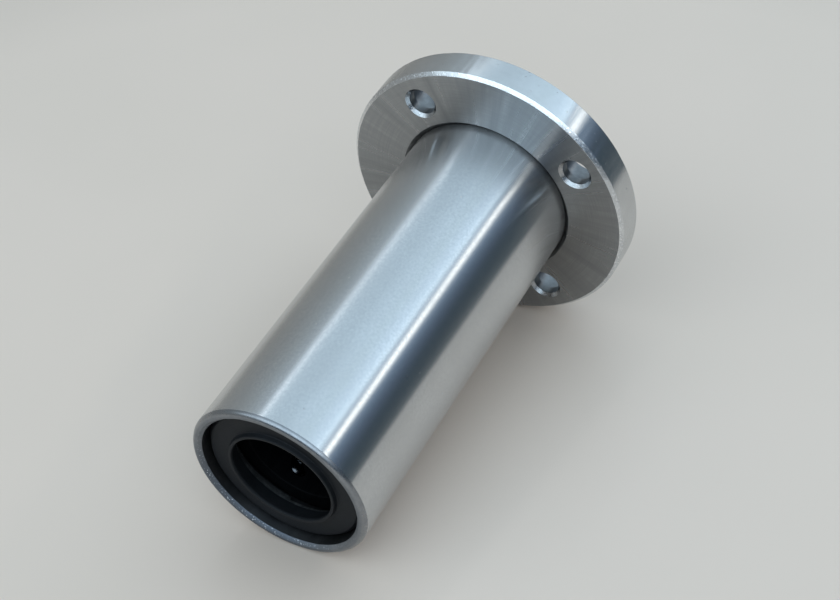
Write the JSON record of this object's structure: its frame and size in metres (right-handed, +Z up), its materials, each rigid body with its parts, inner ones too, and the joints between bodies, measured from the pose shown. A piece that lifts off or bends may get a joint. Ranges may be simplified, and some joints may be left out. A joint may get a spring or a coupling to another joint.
{
  "type": "linear ball bushing",
  "caption": "Long linear ball bushing with a round bolt-on flange at one end, black end seals and recirculating balls in two resin cages.",
  "frame": {"origin": "middle of the shaft bore: on its axis, half way between the flange's outer face and the free end", "axes": "+X along the bore from the flange to the free end, +Z up as it lies on its side"},
  "size_m": [0.07, 0.048, 0.048],
  "materials": {
    "sleeve_steel": "ground and polished bearing steel",
    "flange_steel": "turned steel with fine tool marks",
    "ring_steel": "phosphated spring steel",
    "ball_steel": "polished bearing balls",
    "seal_rubber": "matt moulded nitrile rubber",
    "cage_resin": "moulded resin"
  },
  "bodies": {
    "bearing": {"outer_sleeve": "sleeve_steel", "flange_ring": "flange_steel", "end_seal_flange_end": "seal_rubber", "seal_core_flange_end": "ring_steel", "retaining_ring_flange_end": "ring_steel", "cage_flange_end": "cage_resin", "end_seal_free_end": "seal_rubber", "seal_core_free_end": "ring_steel", "retaining_ring_free_end": "ring_steel", "cage_free_end": "cage_resin"},
    "load_balls_flange_1": {"load_balls_flange_1": "ball_steel"},
    "return_balls_flange_1": {"return_balls_flange_1": "ball_steel"},
    "outboard_turn_balls_flange_1": {"outboard_turn_balls_flange_1": "ball_steel"},
    "inboard_turn_balls_flange_1": {"inboard_turn_balls_flange_1": "ball_steel"},
    "load_balls_flange_2": {"load_balls_flange_2": "ball_steel"},
    "return_balls_flange_2": {"return_balls_flange_2": "ball_steel"},
    "outboard_turn_balls_flange_2": {"outboard_turn_balls_flange_2": "ball_steel"},
    "inboard_turn_balls_flange_2": {"inboard_turn_balls_flange_2": "ball_steel"},
    "load_balls_flange_3": {"load_balls_flange_3": "ball_steel"},
    "return_balls_flange_3": {"return_balls_flange_3": "ball_steel"},
    "outboard_turn_balls_flange_3": {"outboard_turn_balls_flange_3": "ball_steel"},
    "inboard_turn_balls_flange_3": {"inboard_turn_balls_flange_3": "ball_steel"},
    "load_balls_flange_4": {"load_balls_flange_4": "ball_steel"},
    "return_balls_flange_4": {"return_balls_flange_4": "ball_steel"},
    "outboard_turn_balls_flange_4": {"outboard_turn_balls_flange_4": "ball_steel"},
    "inboard_turn_balls_flange_4": {"inboard_turn_balls_flange_4": "ball_steel"},
    "load_balls_flange_5": {"load_balls_flange_5": "ball_steel"},
    "return_balls_flange_5": {"return_balls_flange_5": "ball_steel"},
    "outboard_turn_balls_flange_5": {"outboard_turn_balls_flange_5": "ball_steel"},
    "inboard_turn_balls_flange_5": {"inboard_turn_balls_flange_5": "ball_steel"},
    "load_balls_free_1": {"load_balls_free_1": "ball_steel"},
    "return_balls_free_1": {"return_balls_free_1": "ball_steel"},
    "outboard_turn_balls_free_1": {"outboard_turn_balls_free_1": "ball_steel"},
    "inboard_turn_balls_free_1": {"inboard_turn_balls_free_1": "ball_steel"},
    "load_balls_free_2": {"load_balls_free_2": "ball_steel"},
    "return_balls_free_2": {"return_balls_free_2": "ball_steel"},
    "outboard_turn_balls_free_2": {"outboard_turn_balls_free_2": "ball_steel"},
    "inboard_turn_balls_free_2": {"inboard_turn_balls_free_2": "ball_steel"},
    "load_balls_free_3": {"load_balls_free_3": "ball_steel"},
    "return_balls_free_3": {"return_balls_free_3": "ball_steel"},
    "outboard_turn_balls_free_3": {"outboard_turn_balls_free_3": "ball_steel"},
    "inboard_turn_balls_free_3": {"inboard_turn_balls_free_3": "ball_steel"},
    "load_balls_free_4": {"load_balls_free_4": "ball_steel"},
    "return_balls_free_4": {"return_balls_free_4": "ball_steel"},
    "outboard_turn_balls_free_4": {"outboard_turn_balls_free_4": "ball_steel"},
    "inboard_turn_balls_free_4": {"inboard_turn_balls_free_4": "ball_steel"},
    "load_balls_free_5": {"load_balls_free_5": "ball_steel"},
    "return_balls_free_5": {"return_balls_free_5": "ball_steel"},
    "outboard_turn_balls_free_5": {"outboard_turn_balls_free_5": "ball_steel"},
    "inboard_turn_balls_free_5": {"inboard_turn_balls_free_5": "ball_steel"}
  },
  "joints": [
    {"name": "circuit_flange_1_load_roll", "type": "slide", "parent": "bearing", "child": "load_balls_flange_1", "axis": [1, 0, 0], "range_m": [-0.0016, 0.0016]},
    {"name": "circuit_flange_1_return_roll", "type": "slide", "parent": "bearing", "child": "return_balls_flange_1", "axis": [1, 0, 0], "range_m": [-0.0016, 0.0016]},
    {"name": "circuit_flange_1_outboard_turn", "type": "hinge", "parent": "bearing", "child": "outboard_turn_balls_flange_1", "pos_m": [-0.02455, 0.00784, 0.00597], "axis": [0, 0.9135, 0.4067], "range_deg": [-45, 45]},
    {"name": "circuit_flange_1_inboard_turn", "type": "hinge", "parent": "bearing", "child": "inboard_turn_balls_flange_1", "pos_m": [-0.00505, 0.00784, 0.00597], "axis": [0, 0.9135, 0.4067], "range_deg": [-45, 45]},
    {"name": "circuit_flange_2_load_roll", "type": "slide", "parent": "bearing", "child": "load_balls_flange_2", "axis": [1, 0, 0], "range_m": [-0.0016, 0.0016]},
    {"name": "circuit_flange_2_return_roll", "type": "slide", "parent": "bearing", "child": "return_balls_flange_2", "axis": [1, 0, 0], "range_m": [-0.0016, 0.0016]},
    {"name": "circuit_flange_2_outboard_turn", "type": "hinge", "parent": "bearing", "child": "outboard_turn_balls_flange_2", "pos_m": [-0.02455, -0.00326, 0.0093], "axis": [0, -0.1045, 0.9945], "range_deg": [-45, 45]},
    {"name": "circuit_flange_2_inboard_turn", "type": "hinge", "parent": "bearing", "child": "inboard_turn_balls_flange_2", "pos_m": [-0.00505, -0.00326, 0.0093], "axis": [0, -0.1045, 0.9945], "range_deg": [-45, 45]},
    {"name": "circuit_flange_3_load_roll", "type": "slide", "parent": "bearing", "child": "load_balls_flange_3", "axis": [1, 0, 0], "range_m": [-0.0016, 0.0016]},
    {"name": "circuit_flange_3_return_roll", "type": "slide", "parent": "bearing", "child": "return_balls_flange_3", "axis": [1, 0, 0], "range_m": [-0.0016, 0.0016]},
    {"name": "circuit_flange_3_outboard_turn", "type": "hinge", "parent": "bearing", "child": "outboard_turn_balls_flange_3", "pos_m": [-0.02455, -0.00985, -0.00023], "axis": [0, -0.9781, 0.2079], "range_deg": [-45, 45]},
    {"name": "circuit_flange_3_inboard_turn", "type": "hinge", "parent": "bearing", "child": "inboard_turn_balls_flange_3", "pos_m": [-0.00505, -0.00985, -0.00023], "axis": [0, -0.9781, 0.2079], "range_deg": [-45, 45]},
    {"name": "circuit_flange_4_load_roll", "type": "slide", "parent": "bearing", "child": "load_balls_flange_4", "axis": [1, 0, 0], "range_m": [-0.0016, 0.0016]},
    {"name": "circuit_flange_4_return_roll", "type": "slide", "parent": "bearing", "child": "return_balls_flange_4", "axis": [1, 0, 0], "range_m": [-0.0016, 0.0016]},
    {"name": "circuit_flange_4_outboard_turn", "type": "hinge", "parent": "bearing", "child": "outboard_turn_balls_flange_4", "pos_m": [-0.02455, -0.00283, -0.00944], "axis": [0, -0.5, -0.866], "range_deg": [-45, 45]},
    {"name": "circuit_flange_4_inboard_turn", "type": "hinge", "parent": "bearing", "child": "inboard_turn_balls_flange_4", "pos_m": [-0.00505, -0.00283, -0.00944], "axis": [0, -0.5, -0.866], "range_deg": [-45, 45]},
    {"name": "circuit_flange_5_load_roll", "type": "slide", "parent": "bearing", "child": "load_balls_flange_5", "axis": [1, 0, 0], "range_m": [-0.0016, 0.0016]},
    {"name": "circuit_flange_5_return_roll", "type": "slide", "parent": "bearing", "child": "return_balls_flange_5", "axis": [1, 0, 0], "range_m": [-0.0016, 0.0016]},
    {"name": "circuit_flange_5_outboard_turn", "type": "hinge", "parent": "bearing", "child": "outboard_turn_balls_flange_5", "pos_m": [-0.02455, 0.0081, -0.00561], "axis": [0, 0.6691, -0.7431], "range_deg": [-45, 45]},
    {"name": "circuit_flange_5_inboard_turn", "type": "hinge", "parent": "bearing", "child": "inboard_turn_balls_flange_5", "pos_m": [-0.00505, 0.0081, -0.00561], "axis": [0, 0.6691, -0.7431], "range_deg": [-45, 45]},
    {"name": "circuit_free_1_load_roll", "type": "slide", "parent": "bearing", "child": "load_balls_free_1", "axis": [1, 0, 0], "range_m": [-0.0016, 0.0016]},
    {"name": "circuit_free_1_return_roll", "type": "slide", "parent": "bearing", "child": "return_balls_free_1", "axis": [1, 0, 0], "range_m": [-0.0016, 0.0016]},
    {"name": "circuit_free_1_outboard_turn", "type": "hinge", "parent": "bearing", "child": "outboard_turn_balls_free_1", "pos_m": [0.02455, 0.00784, 0.00597], "axis": [0, 0.9135, 0.4067], "range_deg": [-45, 45]},
    {"name": "circuit_free_1_inboard_turn", "type": "hinge", "parent": "bearing", "child": "inboard_turn_balls_free_1", "pos_m": [0.00505, 0.00784, 0.00597], "axis": [0, 0.9135, 0.4067], "range_deg": [-45, 45]},
    {"name": "circuit_free_2_load_roll", "type": "slide", "parent": "bearing", "child": "load_balls_free_2", "axis": [1, 0, 0], "range_m": [-0.0016, 0.0016]},
    {"name": "circuit_free_2_return_roll", "type": "slide", "parent": "bearing", "child": "return_balls_free_2", "axis": [1, 0, 0], "range_m": [-0.0016, 0.0016]},
    {"name": "circuit_free_2_outboard_turn", "type": "hinge", "parent": "bearing", "child": "outboard_turn_balls_free_2", "pos_m": [0.02455, -0.00326, 0.0093], "axis": [0, -0.1045, 0.9945], "range_deg": [-45, 45]},
    {"name": "circuit_free_2_inboard_turn", "type": "hinge", "parent": "bearing", "child": "inboard_turn_balls_free_2", "pos_m": [0.00505, -0.00326, 0.0093], "axis": [0, -0.1045, 0.9945], "range_deg": [-45, 45]},
    {"name": "circuit_free_3_load_roll", "type": "slide", "parent": "bearing", "child": "load_balls_free_3", "axis": [1, 0, 0], "range_m": [-0.0016, 0.0016]},
    {"name": "circuit_free_3_return_roll", "type": "slide", "parent": "bearing", "child": "return_balls_free_3", "axis": [1, 0, 0], "range_m": [-0.0016, 0.0016]},
    {"name": "circuit_free_3_outboard_turn", "type": "hinge", "parent": "bearing", "child": "outboard_turn_balls_free_3", "pos_m": [0.02455, -0.00985, -0.00023], "axis": [0, -0.9781, 0.2079], "range_deg": [-45, 45]},
    {"name": "circuit_free_3_inboard_turn", "type": "hinge", "parent": "bearing", "child": "inboard_turn_balls_free_3", "pos_m": [0.00505, -0.00985, -0.00023], "axis": [0, -0.9781, 0.2079], "range_deg": [-45, 45]},
    {"name": "circuit_free_4_load_roll", "type": "slide", "parent": "bearing", "child": "load_balls_free_4", "axis": [1, 0, 0], "range_m": [-0.0016, 0.0016]},
    {"name": "circuit_free_4_return_roll", "type": "slide", "parent": "bearing", "child": "return_balls_free_4", "axis": [1, 0, 0], "range_m": [-0.0016, 0.0016]},
    {"name": "circuit_free_4_outboard_turn", "type": "hinge", "parent": "bearing", "child": "outboard_turn_balls_free_4", "pos_m": [0.02455, -0.00283, -0.00944], "axis": [0, -0.5, -0.866], "range_deg": [-45, 45]},
    {"name": "circuit_free_4_inboard_turn", "type": "hinge", "parent": "bearing", "child": "inboard_turn_balls_free_4", "pos_m": [0.00505, -0.00283, -0.00944], "axis": [0, -0.5, -0.866], "range_deg": [-45, 45]},
    {"name": "circuit_free_5_load_roll", "type": "slide", "parent": "bearing", "child": "load_balls_free_5", "axis": [1, 0, 0], "range_m": [-0.0016, 0.0016]},
    {"name": "circuit_free_5_return_roll", "type": "slide", "parent": "bearing", "child": "return_balls_free_5", "axis": [1, 0, 0], "range_m": [-0.0016, 0.0016]},
    {"name": "circuit_free_5_outboard_turn", "type": "hinge", "parent": "bearing", "child": "outboard_turn_balls_free_5", "pos_m": [0.02455, 0.0081, -0.00561], "axis": [0, 0.6691, -0.7431], "range_deg": [-45, 45]},
    {"name": "circuit_free_5_inboard_turn", "type": "hinge", "parent": "bearing", "child": "inboard_turn_balls_free_5", "pos_m": [0.00505, 0.0081, -0.00561], "axis": [0, 0.6691, -0.7431], "range_deg": [-45, 45]}
  ],
  "couplings": [
    {"joint": "circuit_flange_1_return_roll", "follows": "circuit_flange_1_load_roll", "ratio": -1},
    {"joint": "circuit_flange_1_outboard_turn", "follows": "circuit_flange_1_load_roll", "rad_per_m": -483.32},
    {"joint": "circuit_flange_1_inboard_turn", "follows": "circuit_flange_1_load_roll", "rad_per_m": -483.32},
    {"joint": "circuit_flange_2_return_roll", "follows": "circuit_flange_2_load_roll", "ratio": -1},
    {"joint": "circuit_flange_2_outboard_turn", "follows": "circuit_flange_2_load_roll", "rad_per_m": -483.32},
    {"joint": "circuit_flange_2_inboard_turn", "follows": "circuit_flange_2_load_roll", "rad_per_m": -483.32},
    {"joint": "circuit_flange_3_return_roll", "follows": "circuit_flange_3_load_roll", "ratio": -1},
    {"joint": "circuit_flange_3_outboard_turn", "follows": "circuit_flange_3_load_roll", "rad_per_m": -483.32},
    {"joint": "circuit_flange_3_inboard_turn", "follows": "circuit_flange_3_load_roll", "rad_per_m": -483.32},
    {"joint": "circuit_flange_4_return_roll", "follows": "circuit_flange_4_load_roll", "ratio": -1},
    {"joint": "circuit_flange_4_outboard_turn", "follows": "circuit_flange_4_load_roll", "rad_per_m": -483.32},
    {"joint": "circuit_flange_4_inboard_turn", "follows": "circuit_flange_4_load_roll", "rad_per_m": -483.32},
    {"joint": "circuit_flange_5_return_roll", "follows": "circuit_flange_5_load_roll", "ratio": -1},
    {"joint": "circuit_flange_5_outboard_turn", "follows": "circuit_flange_5_load_roll", "rad_per_m": -483.32},
    {"joint": "circuit_flange_5_inboard_turn", "follows": "circuit_flange_5_load_roll", "rad_per_m": -483.32},
    {"joint": "circuit_free_1_return_roll", "follows": "circuit_free_1_load_roll", "ratio": -1},
    {"joint": "circuit_free_1_outboard_turn", "follows": "circuit_free_1_load_roll", "rad_per_m": -483.32},
    {"joint": "circuit_free_1_inboard_turn", "follows": "circuit_free_1_load_roll", "rad_per_m": -483.32},
    {"joint": "circuit_free_2_return_roll", "follows": "circuit_free_2_load_roll", "ratio": -1},
    {"joint": "circuit_free_2_outboard_turn", "follows": "circuit_free_2_load_roll", "rad_per_m": -483.32},
    {"joint": "circuit_free_2_inboard_turn", "follows": "circuit_free_2_load_roll", "rad_per_m": -483.32},
    {"joint": "circuit_free_3_return_roll", "follows": "circuit_free_3_load_roll", "ratio": -1},
    {"joint": "circuit_free_3_outboard_turn", "follows": "circuit_free_3_load_roll", "rad_per_m": -483.32},
    {"joint": "circuit_free_3_inboard_turn", "follows": "circuit_free_3_load_roll", "rad_per_m": -483.32},
    {"joint": "circuit_free_4_return_roll", "follows": "circuit_free_4_load_roll", "ratio": -1},
    {"joint": "circuit_free_4_outboard_turn", "follows": "circuit_free_4_load_roll", "rad_per_m": -483.32},
    {"joint": "circuit_free_4_inboard_turn", "follows": "circuit_free_4_load_roll", "rad_per_m": -483.32},
    {"joint": "circuit_free_5_return_roll", "follows": "circuit_free_5_load_roll", "ratio": -1},
    {"joint": "circuit_free_5_outboard_turn", "follows": "circuit_free_5_load_roll", "rad_per_m": -483.32},
    {"joint": "circuit_free_5_inboard_turn", "follows": "circuit_free_5_load_roll", "rad_per_m": -483.32}
  ]
}
